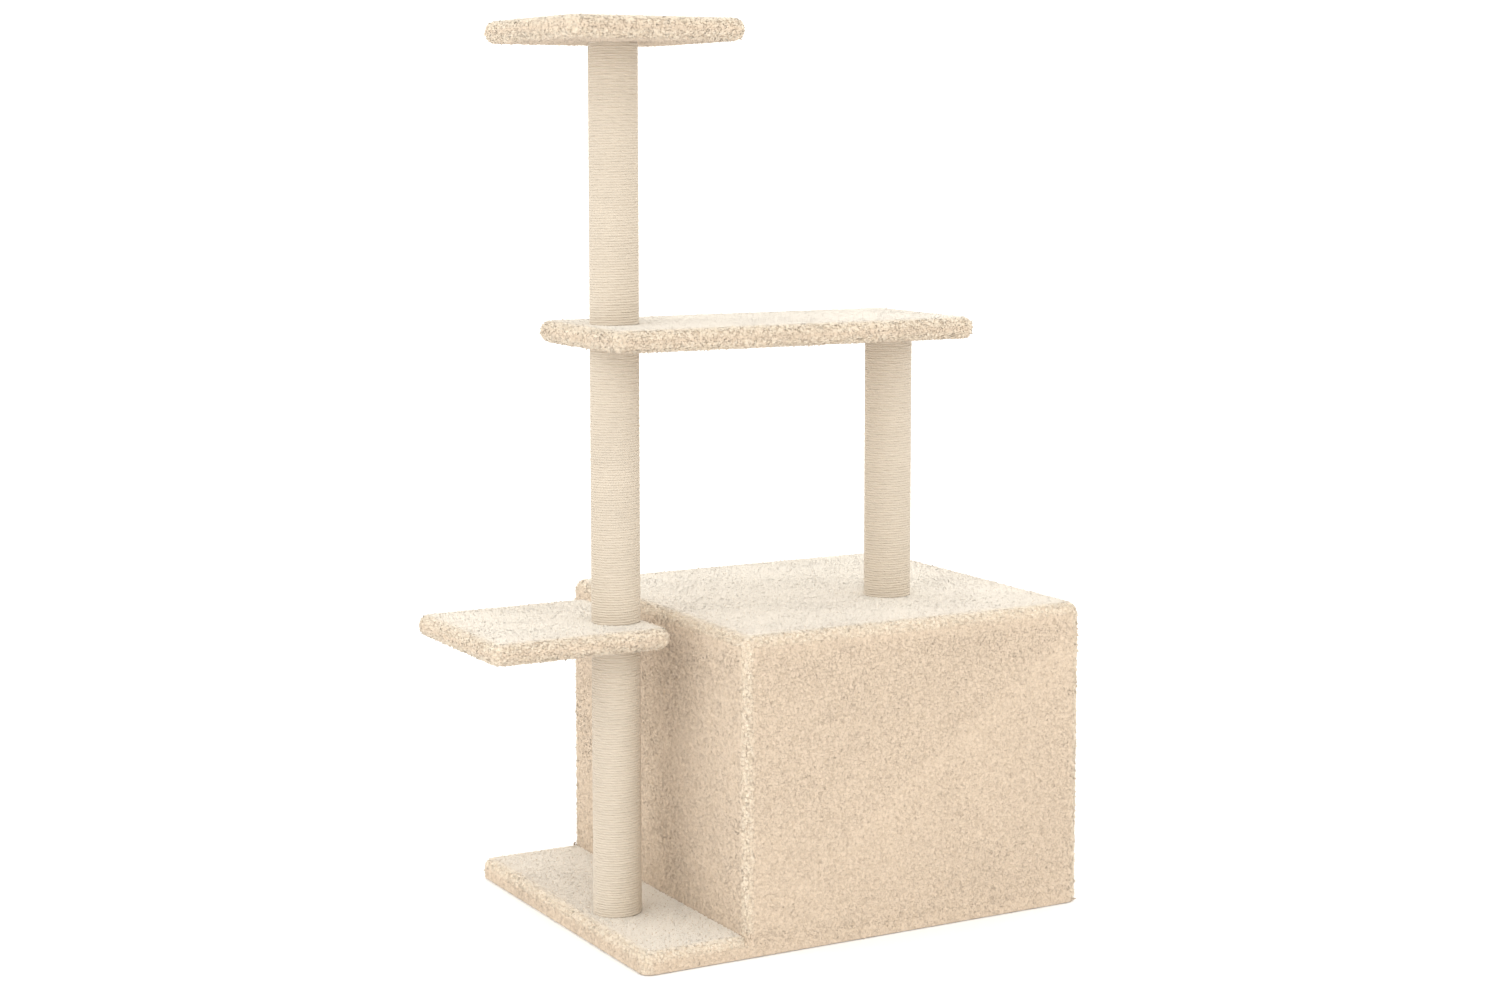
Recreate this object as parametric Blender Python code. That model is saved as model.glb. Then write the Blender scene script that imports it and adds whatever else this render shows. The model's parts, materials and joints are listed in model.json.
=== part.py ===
"""Cat tree: a covered base, a corner condo, three landings and four sisal posts.

Metres, +Z up. The origin is the middle of the base's underside. +X runs along
the base from the open post side to the condo's end wall. +Y is the side with
the condo's doorway, -Y is its plain long side. Every landing is one plate
thickness deep and every post has the same length, so the levels repeat.
"""

from math import cos, pi, sin

import bmesh
import bpy

# Gap left between pieces that touch
GAP = 0.0003

# Posts and plates
PLATE_THICKNESS = 0.0275
POST_LENGTH = 0.330
POST_RADIUS = 0.0295
POST_X = -0.258
POST_Y = -0.066
END_POST_X = 0.126

# Base
BASE_LENGTH = 0.6155
BASE_DEPTH = 0.471

# Landings: length along X, depth along Y
STEP_LENGTH = 0.233
STEP_DEPTH = 0.2385
STEP_X = -0.334
STEP_Y = -0.021
SHELF_LENGTH = 0.4965
SHELF_DEPTH = 0.220
SHELF_X = -0.063
SHELF_Y = -0.0685
TOP_LENGTH = 0.229
TOP_DEPTH = 0.250

# Condo box
CONDO_LENGTH = 0.4825
WALL_THICKNESS = 0.012
BATTEN_SIDE = 0.020
DOOR_HALF_WIDTH = 0.100
DOOR_HEIGHT = 0.240

# Plush covers
COVER = 0.0059
CORNER_RADIUS = 0.010
EDGE_RADIUS = 0.008
LID_HEM = 0.045

# Post construction
SISAL = 0.0040
TUBE_WALL = 0.0030
PLUG_DEPTH = 0.025

# Fasteners
THREAD_RADIUS = 0.004
THREAD_REACH = 0.021
BOLT_HEAD_RADIUS = 0.0075
BOLT_HEAD_HEIGHT = 0.005
WASHER_RADIUS = 0.011
WASHER_THICKNESS = 0.0016
BORE_RADIUS = THREAD_RADIUS + GAP
NUT_BARREL_RADIUS = 0.0056
NUT_FLANGE_RADIUS = 0.011
NUT_FLANGE = 0.0014
SCREW_RADIUS = 0.0020
SCREW_HEAD_RADIUS = 0.0042
SCREW_HEAD_HEIGHT = 0.0030
SCREW_REACH = 0.022

# Levels
STOREY = PLATE_THICKNESS + POST_LENGTH
BASE_TOP = PLATE_THICKNESS
LANDING_LEVELS = [STOREY, 2 * STOREY, 3 * STOREY]
CONDO_HIGH_X = BASE_LENGTH / 2
CONDO_LOW_X = CONDO_HIGH_X - CONDO_LENGTH

POST_SIDES = 32
TUBE_SIDES = 24
SMALL_SIDES = 16


def clear_scene():
    for old in list(bpy.data.objects):
        bpy.data.objects.remove(old, do_unlink=True)


def make_material(name, colour, roughness, metallic=0.0):
    material = bpy.data.materials.new(name)
    material.use_nodes = True
    shader = material.node_tree.nodes["Principled BSDF"]
    shader.inputs["Base Color"].default_value = (*colour, 1.0)
    shader.inputs["Roughness"].default_value = roughness
    shader.inputs["Metallic"].default_value = metallic
    return material


def make_object(name, mesh, location=(0, 0, 0), material=None, parent=None):
    piece = bpy.data.objects.new(name, mesh)
    bpy.context.scene.collection.objects.link(piece)
    piece.location = location
    piece.parent = parent
    if material and not mesh.materials:
        mesh.materials.append(material)
    return piece


def make_group(name, location):
    """An empty that carries the pieces of one sub-assembly."""
    group = bpy.data.objects.new(name, None)
    bpy.context.scene.collection.objects.link(group)
    group.location = location
    return group


def mesh_from(shape, name):
    bmesh.ops.recalc_face_normals(shape, faces=shape.faces)
    mesh = bpy.data.meshes.new(name)
    shape.to_mesh(mesh)
    shape.free()
    return mesh


def slab_mesh(name, size, corner=0.0, edge=0.0, round_bottom=True):
    """A box centred on its origin, its upright edges and its rims rounded."""
    shape = bmesh.new()
    bmesh.ops.create_cube(shape, size=1.0)
    bmesh.ops.scale(shape, vec=size, verts=shape.verts)
    if corner:
        upright = [e for e in shape.edges if abs(e.verts[0].co.z - e.verts[1].co.z) > size[2] / 2]
        bmesh.ops.bevel(shape, geom=upright, offset=corner, segments=4, profile=0.5, affect="EDGES")
    if edge:
        def on_rim(e):
            heights = [v.co.z for v in e.verts]
            level = min(abs(h) for h in heights) > size[2] / 2 - 1e-6 and heights[0] * heights[1] > 0
            return level and (round_bottom or heights[0] > 0)
        rim = [e for e in shape.edges if on_rim(e)]
        bmesh.ops.bevel(shape, geom=rim, offset=edge, segments=3, profile=0.5, affect="EDGES")
    return mesh_from(shape, name)


def block_mesh(name, low, high):
    """A plain box between two corners."""
    shape = bmesh.new()
    bmesh.ops.create_cube(shape, size=1.0)
    bmesh.ops.scale(shape, vec=[h - l for l, h in zip(low, high)], verts=shape.verts)
    bmesh.ops.translate(shape, vec=[(h + l) / 2 for l, h in zip(low, high)], verts=shape.verts)
    return mesh_from(shape, name)


def turned_mesh(name, outline, sides):
    """A closed outline of (radius, height) points turned about Z. Radius 0 makes a pole."""
    shape = bmesh.new()
    rings = []
    for radius, height in outline:
        if radius == 0:
            rings.append([shape.verts.new((0, 0, height))] * sides)
            continue
        turns = [2 * pi * i / sides for i in range(sides)]
        rings.append([shape.verts.new((radius * cos(t), radius * sin(t), height)) for t in turns])
    for lower, upper in zip(rings, rings[1:] + rings[:1]):
        if lower[0] is lower[1] and upper[0] is upper[1]:
            continue
        for i in range(sides):
            j = (i + 1) % sides
            corners = list(dict.fromkeys([lower[i], lower[j], upper[j], upper[i]]))
            shape.faces.new(corners)
    mesh = mesh_from(shape, name)
    mesh.shade_smooth()
    mesh.set_sharp_from_angle(angle=pi / 6)
    return mesh


def tube_outline(inner, outer, low, high):
    return [(inner, low), (outer, low), (outer, high), (inner, high)]


def rod_outline(radius, low, high):
    return [(0, low), (radius, low), (radius, high), (0, high)]


def prism_mesh(name, outline, depth, along):
    """An outline in the plane across an axis, extruded along it from depth[0] to depth[1]."""
    shape = bmesh.new()
    if along == "Z":
        start = [shape.verts.new((a, b, depth[0])) for a, b in outline]
    else:
        start = [shape.verts.new((a, depth[0], b)) for a, b in outline]
    face = shape.faces.new(start)
    grown = bmesh.ops.extrude_face_region(shape, geom=[face])["geom"]
    shift = depth[1] - depth[0]
    offset = (0, 0, shift) if along == "Z" else (0, shift, 0)
    moved = [v for v in grown if isinstance(v, bmesh.types.BMVert)]
    bmesh.ops.translate(shape, vec=offset, verts=moved)
    return mesh_from(shape, name)


def doorway_outline(half_width, bottom, top, steps=12):
    """An upright doorway in X and Z with a half-round head."""
    spring = top - half_width
    head = [(half_width * cos(pi * i / steps), spring + half_width * sin(pi * i / steps))
            for i in range(steps + 1)]
    return [(half_width, bottom)] + head + [(-half_width, bottom)]


def add_boolean(piece, helper, operation):
    """Keeps the helper out of the render and applies it to the piece."""
    helper.hide_render = True
    helper.display_type = "WIRE"
    modifier = piece.modifiers.new(f"{operation.lower()} {helper.name}", "BOOLEAN")
    modifier.operation = operation
    modifier.solver = "EXACT"
    modifier.object = helper


def drill(piece, name, x, y, low, high, radius, sides=SMALL_SIDES):
    """An upright round hole through the piece, in world coordinates."""
    mesh = turned_mesh(name, rod_outline(radius, low, high), sides)
    add_boolean(piece, make_object(name, mesh, (x, y, 0)), "DIFFERENCE")


def add_board(name, group, size, material, offset=(0, 0, 0)):
    corner = CORNER_RADIUS - COVER
    return make_object(name, slab_mesh(name, size, corner), offset, material, group)


def add_landing(name, x, y, level, length, depth, materials, window=None):
    """A board wrapped in plush on both faces, or with a window of bare board left below.

    Returns the board and the cover.
    """
    group = make_group(f"{name}_group", (x, y, level + PLATE_THICKNESS / 2))
    board_size = [length - 2 * (COVER + GAP), depth - 2 * (COVER + GAP),
                  PLATE_THICKNESS - 2 * (COVER + GAP)]
    board = add_board(f"{name}_board", group, board_size, materials["board"])
    cover_mesh = slab_mesh(f"{name}_plush", (length, depth, PLATE_THICKNESS), CORNER_RADIUS, EDGE_RADIUS)
    cover = make_object(f"{name}_plush", cover_mesh, (0, 0, 0), materials["plush"], group)
    hollow_size = [side + 2 * GAP for side in board_size]
    hollow_mesh = slab_mesh(f"{name}_hollow", hollow_size, CORNER_RADIUS - COVER + GAP)
    hollow = make_object(f"{name}_hollow", hollow_mesh, (0, 0, 0), None, group)
    if window:
        window_mesh = slab_mesh(f"{name}_window", (*window, PLATE_THICKNESS), CORNER_RADIUS)
        below = (0, 0, -PLATE_THICKNESS / 2)
        add_boolean(hollow, make_object(f"{name}_window", window_mesh, below, None, group), "UNION")
    add_boolean(cover, hollow, "DIFFERENCE")
    return board, cover


def add_post(name, x, y, low, materials):
    """A cardboard tube with a threaded plug in each end and a sisal sleeve round it."""
    group = make_group(f"{name}_group", (x, y, low))
    bottom = GAP
    top = POST_LENGTH - GAP
    tube_outer = POST_RADIUS - SISAL - GAP
    tube_inner = tube_outer - TUBE_WALL
    plug_radius = tube_inner - GAP
    sleeve = turned_mesh(f"{name}_sisal", tube_outline(POST_RADIUS - SISAL, POST_RADIUS, bottom, top), POST_SIDES)
    make_object(f"{name}_sisal", sleeve, (0, 0, 0), materials["sisal"], group)
    tube = turned_mesh(f"{name}_tube", tube_outline(tube_inner, tube_outer, bottom, top), TUBE_SIDES)
    make_object(f"{name}_tube", tube, (0, 0, 0), materials["card"], group)
    for end, plug_low in (("lower", bottom), ("upper", top - PLUG_DEPTH)):
        outline = tube_outline(BORE_RADIUS, plug_radius, 0, PLUG_DEPTH)
        plug = turned_mesh(f"{name}_{end}_plug", outline, TUBE_SIDES)
        make_object(f"{name}_{end}_plug", plug, (0, 0, plug_low), materials["plastic"], group)


def add_stud(name, x, y, low, high, material):
    """A headless bolt with chamfered ends."""
    chamfer = THREAD_RADIUS * 0.25
    outline = [(0, low), (THREAD_RADIUS - chamfer, low), (THREAD_RADIUS, low + chamfer),
               (THREAD_RADIUS, high - chamfer), (THREAD_RADIUS - chamfer, high), (0, high)]
    make_object(name, turned_mesh(name, outline, SMALL_SIDES), (x, y, 0), material)


def add_bolt(name, x, y, seat, high, material):
    """A socket-head bolt whose head hangs below its seat and whose shank goes up."""
    low = seat - BOLT_HEAD_HEIGHT
    chamfer = THREAD_RADIUS * 0.25
    outline = [(0, low), (BOLT_HEAD_RADIUS - chamfer, low), (BOLT_HEAD_RADIUS, low + chamfer),
               (BOLT_HEAD_RADIUS, seat), (THREAD_RADIUS, seat), (THREAD_RADIUS, high - chamfer),
               (THREAD_RADIUS - chamfer, high), (0, high)]
    bolt = make_object(name, turned_mesh(name, outline, SMALL_SIDES), (x, y, 0), material)
    socket = turned_mesh(f"{name}_socket", rod_outline(THREAD_RADIUS * 0.7, -1.0, 1.0), 6)
    depth = BOLT_HEAD_HEIGHT * 0.6
    helper = make_object(f"{name}_socket", socket, (x, y, low + depth - 1.0))
    add_boolean(bolt, helper, "DIFFERENCE")


def add_washer(name, x, y, seat, material):
    """A flat washer hanging directly below its seat."""
    outline = tube_outline(BORE_RADIUS, WASHER_RADIUS, seat - WASHER_THICKNESS, seat)
    make_object(name, turned_mesh(name, outline, SMALL_SIDES), (x, y, 0), material)


def add_tee_nut(name, x, y, board_low, board_high, material):
    """A flanged nut let into the top of a board, its barrel reaching down."""
    flange_low = board_high - NUT_FLANGE
    barrel_low = board_low + 0.002
    outline = [(BORE_RADIUS, barrel_low), (NUT_BARREL_RADIUS, barrel_low), (NUT_BARREL_RADIUS, flange_low),
               (NUT_FLANGE_RADIUS, flange_low), (NUT_FLANGE_RADIUS, board_high), (BORE_RADIUS, board_high)]
    make_object(name, turned_mesh(name, outline, SMALL_SIDES), (x, y, 0), material)


def cross_outline(reach, half):
    """A plus sign whose four arms reach out from the middle."""
    quarter = [(reach, -half), (reach, half), (half, half)]
    outline = []
    for turn in range(4):
        for x, y in quarter:
            for _ in range(turn):
                x, y = -y, x
            outline.append((x, y))
    return outline


def wood_screw_mesh(length):
    """A countersunk wood screw pointing down from its head's top face at height 0."""
    outline = [(0, -length), (SCREW_RADIUS, -length + 3 * SCREW_RADIUS),
               (SCREW_RADIUS, -SCREW_HEAD_HEIGHT), (SCREW_HEAD_RADIUS, 0), (0, 0)]
    screw = make_object("screw_blank", turned_mesh("screw_blank", outline, SMALL_SIDES))
    reach = SCREW_HEAD_RADIUS * 0.6
    half = SCREW_HEAD_RADIUS * 0.15
    depth = SCREW_HEAD_HEIGHT * 0.6
    recess = prism_mesh("screw_recess", cross_outline(reach, half), (-depth, depth), "Z")
    add_boolean(screw, make_object("screw_recess", recess), "DIFFERENCE")
    finished = screw.evaluated_get(bpy.context.evaluated_depsgraph_get())
    mesh = bpy.data.meshes.new_from_object(finished)
    for name in ("screw_blank", "screw_recess"):
        bpy.data.objects.remove(bpy.data.objects[name], do_unlink=True)
    mesh.materials.clear()
    return mesh


def landing_faces(level):
    """The heights of a landing board's underside and top."""
    return level + COVER + GAP, level + PLATE_THICKNESS - COVER - GAP


def build_base(materials):
    """The heavy board and the plush over its top and sides."""
    board_high = PLATE_THICKNESS - COVER - GAP
    group = make_group("base_group", (0, 0, 0))
    board_size = [BASE_LENGTH - 2 * (COVER + GAP), BASE_DEPTH - 2 * (COVER + GAP), board_high]
    board = add_board("base_board", group, board_size, materials["board"], (0, 0, board_high / 2))
    cover_low = 0.001
    cover_height = PLATE_THICKNESS - cover_low
    cover_mesh = slab_mesh("base_plush", (BASE_LENGTH, BASE_DEPTH, cover_height), CORNER_RADIUS, EDGE_RADIUS,
                           round_bottom=False)
    cover = make_object("base_plush", cover_mesh, (0, 0, cover_low + cover_height / 2), materials["plush"], group)
    hollow_size = [board_size[0] + 2 * GAP, board_size[1] + 2 * GAP, 2 * (board_high + GAP)]
    hollow_mesh = slab_mesh("base_hollow", hollow_size, CORNER_RADIUS - COVER + GAP)
    add_boolean(cover, make_object("base_hollow", hollow_mesh, (0, 0, 0), None, group), "DIFFERENCE")
    seat = board_high - 0.012
    drill(board, "base_bolt_hole", POST_X, POST_Y, -0.01, 0.04, BORE_RADIUS)
    drill(board, "base_bolt_recess", POST_X, POST_Y, -0.01, seat, WASHER_RADIUS + GAP)
    drill(cover, "base_cover_hole", POST_X, POST_Y, 0.0, 0.04, BORE_RADIUS)
    add_washer("base_washer", POST_X, POST_Y, seat - GAP, materials["steel"])
    bolt_seat = seat - 2 * GAP - WASHER_THICKNESS
    add_bolt("base_bolt", POST_X, POST_Y, bolt_seat, BASE_TOP + THREAD_REACH, materials["steel"])
    return board, cover


def build_post_column(materials):
    """The three stacked posts, the step, the shelf and the top landing, and what joins them."""
    for index, name in enumerate(("lower_post", "middle_post", "upper_post")):
        add_post(name, POST_X, POST_Y, BASE_TOP + index * STOREY, materials)
    step = add_landing("step", STEP_X, STEP_Y, LANDING_LEVELS[0], STEP_LENGTH, STEP_DEPTH, materials)
    shelf = add_landing("shelf", SHELF_X, SHELF_Y, LANDING_LEVELS[1], SHELF_LENGTH, SHELF_DEPTH, materials)
    top = add_landing("top", POST_X, POST_Y, LANDING_LEVELS[2], TOP_LENGTH, TOP_DEPTH, materials)
    for name, pieces, level in (("step", step, LANDING_LEVELS[0]), ("shelf", shelf, LANDING_LEVELS[1])):
        high = level + PLATE_THICKNESS
        for piece in pieces:
            drill(piece, f"{piece.name}_stud_hole", POST_X, POST_Y, level - 0.01, high + 0.01, BORE_RADIUS)
        add_stud(f"{name}_stud", POST_X, POST_Y, level - THREAD_REACH, high + THREAD_REACH, materials["steel"])
    add_blind_fixing("top", top, POST_X, LANDING_LEVELS[2], materials)
    add_blind_fixing("shelf_end", shelf, END_POST_X, LANDING_LEVELS[1], materials)


def add_blind_fixing(name, pieces, x, level, materials):
    """A stud from the post below into a flanged nut that the top plush hides."""
    board, cover = pieces
    board_low, board_high = landing_faces(level)
    flange_low = board_high - NUT_FLANGE
    drill(board, f"{name}_nut_hole", x, POST_Y, board_low - 0.01, board_high + 0.01, NUT_BARREL_RADIUS + GAP)
    drill(board, f"{name}_nut_recess", x, POST_Y, flange_low - GAP, board_high + 0.01, NUT_FLANGE_RADIUS + GAP)
    drill(cover, f"{name}_cover_hole", x, POST_Y, level - 0.01, board_low + 0.002, BORE_RADIUS)
    add_tee_nut(f"{name}_tee_nut", x, POST_Y, board_low, board_high, materials["steel"])
    add_stud(f"{name}_post_stud", x, POST_Y, level - THREAD_REACH, board_high - 0.002, materials["steel"])


def mitred_outline(length, depth):
    """A wall panel in plan: a strip with its ends cut at 45 degrees, outer face on Y = 0."""
    half = length / 2
    return [(-half, 0), (half, 0), (half - depth, depth), (-half + depth, depth)]


def build_condo_walls(materials):
    """Four butted wall boards, their mitred plush panels and the corner battens."""
    low = BASE_TOP + GAP
    high = STOREY - GAP
    outer_low = (CONDO_LOW_X, -BASE_DEPTH / 2)
    outer_high = (CONDO_HIGH_X, BASE_DEPTH / 2)
    board_low = [value + COVER + GAP for value in outer_low]
    board_high = [value - COVER - GAP for value in outer_high]
    inner_low = [value + WALL_THICKNESS for value in board_low]
    inner_high = [value - WALL_THICKNESS for value in board_high]
    walls = {
        "back": ((board_low[0], board_low[1]), (board_high[0], inner_low[1])),
        "front": ((board_low[0], inner_high[1]), (board_high[0], board_high[1])),
        "left": ((board_low[0], inner_low[1] + GAP), (inner_low[0], inner_high[1] - GAP)),
        "right": ((inner_high[0], inner_low[1] + GAP), (board_high[0], inner_high[1] - GAP)),
    }
    boards = {}
    for side, (near, far) in walls.items():
        mesh = block_mesh(f"condo_{side}_wall", (*near, low), (*far, high))
        boards[side] = make_object(f"condo_{side}_wall", mesh, material=materials["board"])
    middle = [(a + b) / 2 for a, b in zip(outer_low, outer_high)]
    length = outer_high[0] - outer_low[0] - 2 * GAP
    depth = outer_high[1] - outer_low[1] - 2 * GAP
    panels = {}
    for side, span, turn, place in (
        ("back", length, 0, (middle[0], outer_low[1])),
        ("right", depth, pi / 2, (outer_high[0], middle[1])),
        ("front", length, pi, (middle[0], outer_high[1])),
        ("left", depth, -pi / 2, (outer_low[0], middle[1])),
    ):
        mesh = prism_mesh(f"condo_{side}_plush", mitred_outline(span, COVER), (low, high), "Z")
        panel = make_object(f"condo_{side}_plush", mesh, (*place, 0), materials["plush"])
        panel.rotation_euler.z = turn
        panels[side] = panel
    cut_doorway(boards["front"], panels["front"], middle[0], inner_high[1], outer_high[1], low)
    battens = []
    for end_x, x in (("left", inner_low[0] + GAP), ("right", inner_high[0] - GAP - BATTEN_SIDE)):
        for end_y, y in (("back", inner_low[1] + GAP), ("front", inner_high[1] - GAP - BATTEN_SIDE)):
            name = f"{end_y}_{end_x}_batten"
            mesh = block_mesh(name, (x, y, low), (x + BATTEN_SIDE, y + BATTEN_SIDE, high))
            battens.append(make_object(name, mesh, material=materials["pine"]))
    return battens


def cut_doorway(board, panel, x, inner_y, outer_y, low):
    """The doorway through the front wall. The plush turns in over the cut edge of the board."""
    sill = low - 0.01
    top = BASE_TOP + DOOR_HEIGHT
    lined = DOOR_HALF_WIDTH + COVER
    hole = prism_mesh("door_hole", doorway_outline(lined + GAP, sill, top + COVER + GAP),
                      (inner_y - 0.02, outer_y + 0.02), "Y")
    add_boolean(board, make_object("door_hole", hole, (x, 0, 0)), "DIFFERENCE")
    lining = prism_mesh("door_lining", doorway_outline(lined, low, top + COVER),
                        (inner_y, outer_y - COVER / 2), "Y")
    add_boolean(panel, make_object("door_lining", lining, (x, 0, 0)), "UNION")
    clear = prism_mesh("door_clear", doorway_outline(DOOR_HALF_WIDTH, sill, top),
                       (inner_y - 0.02, outer_y + 0.02), "Y")
    add_boolean(panel, make_object("door_clear", clear, (x, 0, 0)), "DIFFERENCE")


def build_lid(materials):
    """The condo's lid: a board with plush over its top and sides and a hem turned in below."""
    x = (CONDO_LOW_X + CONDO_HIGH_X) / 2
    window = (CONDO_LENGTH - 2 * LID_HEM, BASE_DEPTH - 2 * LID_HEM)
    board, cover = add_landing("lid", x, 0, STOREY, CONDO_LENGTH, BASE_DEPTH, materials, window)
    board_low, board_high = landing_faces(STOREY)
    drill(board, "lid_bolt_hole", END_POST_X, POST_Y, board_low - 0.01, board_high + 0.01, BORE_RADIUS)
    drill(cover, "lid_cover_hole", END_POST_X, POST_Y, board_high - 0.002, STOREY + 0.05, BORE_RADIUS)
    add_washer("lid_washer", END_POST_X, POST_Y, board_low - GAP, materials["steel"])
    bolt_seat = board_low - 2 * GAP - WASHER_THICKNESS
    bolt_high = STOREY + PLATE_THICKNESS + THREAD_REACH
    add_bolt("lid_bolt", END_POST_X, POST_Y, bolt_seat, bolt_high, materials["steel"])
    add_post("condo_post", END_POST_X, POST_Y, STOREY + PLATE_THICKNESS, materials)
    return board, cover


def fix_battens(battens, base, lid, materials):
    """A screw up through the base and one down through the lid into each corner batten."""
    _, lid_board_high = landing_faces(STOREY)
    lid_length = lid_board_high - STOREY + SCREW_REACH
    recess = 0.008
    base_length = BASE_TOP - recess + SCREW_REACH
    lid_mesh = wood_screw_mesh(lid_length)
    base_mesh = wood_screw_mesh(base_length)
    hole = SCREW_RADIUS + GAP
    head = SCREW_HEAD_RADIUS + GAP
    for batten in battens:
        corners = [batten.matrix_world @ vertex.co for vertex in batten.data.vertices]
        x = sum(corner.x for corner in corners) / len(corners)
        y = sum(corner.y for corner in corners) / len(corners)
        place = batten.name.replace("_batten", "")
        lid_board, lid_cover = lid
        base_board, base_cover = base
        drill(batten, f"{place}_upper_pilot", x, y, STOREY - SCREW_REACH - 0.002, STOREY + 0.01, hole, 12)
        drill(batten, f"{place}_lower_pilot", x, y, 0, BASE_TOP + SCREW_REACH + 0.002, hole, 12)
        drill(lid_cover, f"{place}_hem_hole", x, y, STOREY - 0.01, STOREY + PLATE_THICKNESS / 2, hole, 12)
        drill(lid_board, f"{place}_lid_hole", x, y, STOREY, lid_board_high + 0.01, hole, 12)
        sink = SCREW_HEAD_HEIGHT + GAP
        drill(lid_board, f"{place}_lid_sink", x, y, lid_board_high - sink, lid_board_high + 0.01, head, 12)
        drill(base_board, f"{place}_base_hole", x, y, -0.01, PLATE_THICKNESS, hole, 12)
        drill(base_board, f"{place}_base_sink", x, y, -0.01, recess + sink, head, 12)
        drill(base_cover, f"{place}_base_cover_hole", x, y, 0, PLATE_THICKNESS + 0.01, hole, 12)
        make_object(f"{place}_lid_screw", lid_mesh, (x, y, lid_board_high), materials["steel"])
        upward = make_object(f"{place}_base_screw", base_mesh, (x, y, recess), materials["steel"])
        upward.rotation_euler.x = pi


def main():
    clear_scene()
    materials = {
        "plush": make_material("cream_plush", (0.80, 0.66, 0.50), 0.95),
        "sisal": make_material("sisal", (0.80, 0.68, 0.52), 0.85),
        "board": make_material("chipboard", (0.50, 0.36, 0.22), 0.80),
        "card": make_material("cardboard", (0.42, 0.30, 0.19), 0.90),
        "pine": make_material("pine", (0.68, 0.50, 0.30), 0.70),
        "plastic": make_material("black_plastic", (0.03, 0.03, 0.03), 0.45),
        "steel": make_material("zinc_steel", (0.62, 0.62, 0.64), 0.35, 1.0),
    }
    base = build_base(materials)
    build_post_column(materials)
    battens = build_condo_walls(materials)
    lid = build_lid(materials)
    bpy.context.view_layer.update()
    fix_battens(battens, base, lid, materials)


main()
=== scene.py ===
"""Looks of a carpeted cat tree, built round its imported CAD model."""
import json
from itertools import product
from math import cos, pi, radians, sin, tau

import bmesh
import bpy
import numpy as np
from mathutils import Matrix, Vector


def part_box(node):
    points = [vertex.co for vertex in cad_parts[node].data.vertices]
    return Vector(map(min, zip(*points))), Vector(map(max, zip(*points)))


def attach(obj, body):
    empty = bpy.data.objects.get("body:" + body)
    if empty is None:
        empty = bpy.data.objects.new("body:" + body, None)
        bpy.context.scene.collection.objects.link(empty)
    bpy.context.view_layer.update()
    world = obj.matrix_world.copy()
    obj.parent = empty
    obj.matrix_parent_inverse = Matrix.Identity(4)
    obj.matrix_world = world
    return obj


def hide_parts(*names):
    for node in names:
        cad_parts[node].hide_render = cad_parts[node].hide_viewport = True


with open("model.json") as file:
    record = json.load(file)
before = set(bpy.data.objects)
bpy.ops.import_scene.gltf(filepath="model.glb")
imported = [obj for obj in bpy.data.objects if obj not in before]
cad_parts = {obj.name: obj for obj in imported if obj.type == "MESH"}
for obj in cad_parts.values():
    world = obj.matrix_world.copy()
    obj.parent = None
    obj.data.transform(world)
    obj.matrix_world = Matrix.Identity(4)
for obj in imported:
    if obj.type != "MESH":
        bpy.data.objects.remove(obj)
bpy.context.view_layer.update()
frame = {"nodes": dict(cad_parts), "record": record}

# Camera. The shift is small, and a slight downward tilt does the rest of the framing.
CAMERA_PLACE = (-1.6159, -2.8273, 0.9640)
CAMERA_TURN = radians(29.186)
CAMERA_TILT = radians(6.195)
CAMERA_LENS = 62.28
CAMERA_SHIFT = -0.055

# Light and ground: an even, slightly warm studio with one large cool lamp on the left.
WORLD_STRENGTH = 1.50
WORLD_COLOUR = (1.0, 0.972, 0.915)
KEY_PLACE = (-6.0, -3.5, 2.6)
KEY_TARGET = (0, 0, 0.4)
KEY_SIZE = 6.0
KEY_POWER = 65
KEY_COLOUR = (0.88, 0.94, 1.0)
FLOOR_REACH = 30.0
FLOOR_COLOUR = (0.96, 0.97, 0.995)

# Plush: a dense ground with the loose ends of a curly pile on it, up to the face of the CAD cover.
PILE = 0.0013
TUFT_SPACING = 0.0025
TUFT_WIDTH = 0.0022
TUFT_WIDTH_RANGE = (0.85, 1.15)
TUFT_CLUMP = 0.0052
GRID_JITTER = 0.38
RIM_RADIUS = 0.0137
LID_RADIUS = 0.0155
CORNER_RADIUS = 0.0160
WALL_CORNER_RADIUS = 0.0137

# Where one cover meets another, a post or the floor.
SEAM_LAP = 0.0006
WALL_TUCK = 0.0100
TUCK_DEPTH = 0.0005
END_BAND = 0.001
CORNER_FILL = 0.006
CORNER_FILL_UP = (0.05, 0.9)
FLOOR_CLEARANCE = 0.0025
POST_OVERLAP = 0.0025
POST_NEAR = 0.01

# A tuft halfway round an edge faces 45 degrees off both sides and counts as fully bent. The power spreads
# the bend towards the flat faces.
# The bend also places the painted highlight along the rims and corners.
RIM_BEND = 0.29
RIM_SPREAD = 0.38

# How far the tufts lean and stand out, in metres but for the shares.
CLUMP_PULL = 0.45
NAP_LEAN = 0.0002
LEAN_SCATTER = 0.00055
CLUMP_REACH = 0.0010
REACH_SCATTER = 0.0003
LOOSE_MEAN = -0.0008
LOOSE_SCATTER = 0.0013
LOOSE_ON_FACES = 0.1

# How far their shading turns, how much of their shade is their clump's, and how level faces differ.
CLUMP_TILT = 0.30
TUFT_TILT = 0.08
TILT_AT_RIM = 0.7
CLUMP_SHADE = 0.55
CLUMP_SHADE_DROP = 0.30
LEVEL_CALM = 0.9
LEVEL_MIXING = 0.7
# The painted light on level faces drops by this share at their outline and comes back over RIM_FADE.
TOP_LIGHT_EDGE_DROP = 0.5
RIM_FADE = 0.012

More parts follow.
